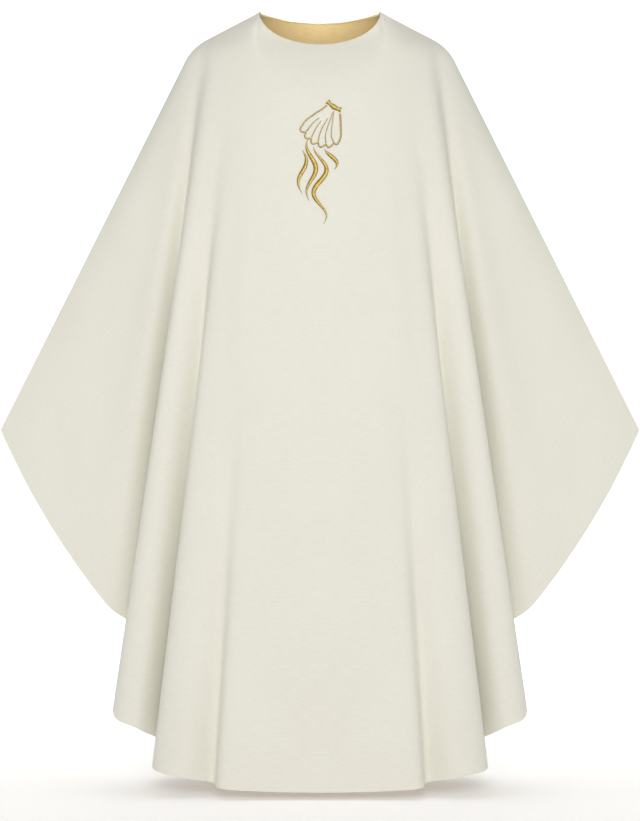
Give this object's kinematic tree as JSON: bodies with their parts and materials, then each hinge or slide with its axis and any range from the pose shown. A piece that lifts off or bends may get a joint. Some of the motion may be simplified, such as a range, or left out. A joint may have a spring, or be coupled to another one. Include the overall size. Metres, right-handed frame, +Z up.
{
  "type": "chasuble",
  "caption": "Cream chasuble hanging as worn, with a round collarless neck, a gold lining and a gold shell and water embroidery on the chest.",
  "frame": {"origin": "midway between the two sides of the neck opening, at the height of the shoulders there, where the garment rests on its wearer", "axes": "+Z up, -Y out of the front, +X to the wearer's left"},
  "size_m": [1.11, 0.3206, 1.3318],
  "materials": {
    "cream_cloth": "smooth matt weave",
    "binding_cream": "smooth matt weave",
    "lining_gold": "satin",
    "inner_tape": "matt",
    "gold_thread": "satin stitch"
  },
  "bodies": {
    "garment": {"back_hem_facing": "cream_cloth", "back_lining": "lining_gold", "back_neck_facing": "inner_tape", "back_panel": "cream_cloth", "embroidery_backing": "inner_tape", "front_hem_facing": "cream_cloth", "front_lining": "lining_gold", "front_neck_facing": "inner_tape", "front_panel": "cream_cloth", "left_shoulder_seam": "inner_tape", "neck_binding": "binding_cream", "right_shoulder_seam": "inner_tape", "shell_hinge": "gold_thread", "shell_outline": "gold_thread", "shell_rib_1": "gold_thread", "shell_rib_2": "gold_thread", "shell_rib_3": "gold_thread", "shell_rib_4": "gold_thread", "shell_rib_5": "gold_thread", "water_centre": "gold_thread", "water_long_right": "gold_thread", "water_outer_right": "gold_thread", "water_short_left": "gold_thread"},
    "left_wing": {"left_wing_back_hem_facing": "cream_cloth", "left_wing_back_lining": "lining_gold", "left_wing_back_panel": "cream_cloth", "left_wing_front_hem_facing": "cream_cloth", "left_wing_front_lining": "lining_gold", "left_wing_front_panel": "cream_cloth", "left_wing_seam": "inner_tape"},
    "right_wing": {"right_wing_back_hem_facing": "cream_cloth", "right_wing_back_lining": "lining_gold", "right_wing_back_panel": "cream_cloth", "right_wing_front_hem_facing": "cream_cloth", "right_wing_front_lining": "lining_gold", "right_wing_front_panel": "cream_cloth", "right_wing_seam": "inner_tape"}
  },
  "joints": [
    {"name": "left_wing_lift", "type": "hinge", "parent": "garment", "child": "left_wing", "pos_m": [0.2003, 0, -0.105], "axis": [0, -1, 0], "range_deg": [0, 35]},
    {"name": "right_wing_lift", "type": "hinge", "parent": "garment", "child": "right_wing", "pos_m": [-0.2003, 0, -0.105], "axis": [0, 1, 0], "range_deg": [0, 35]}
  ]
}
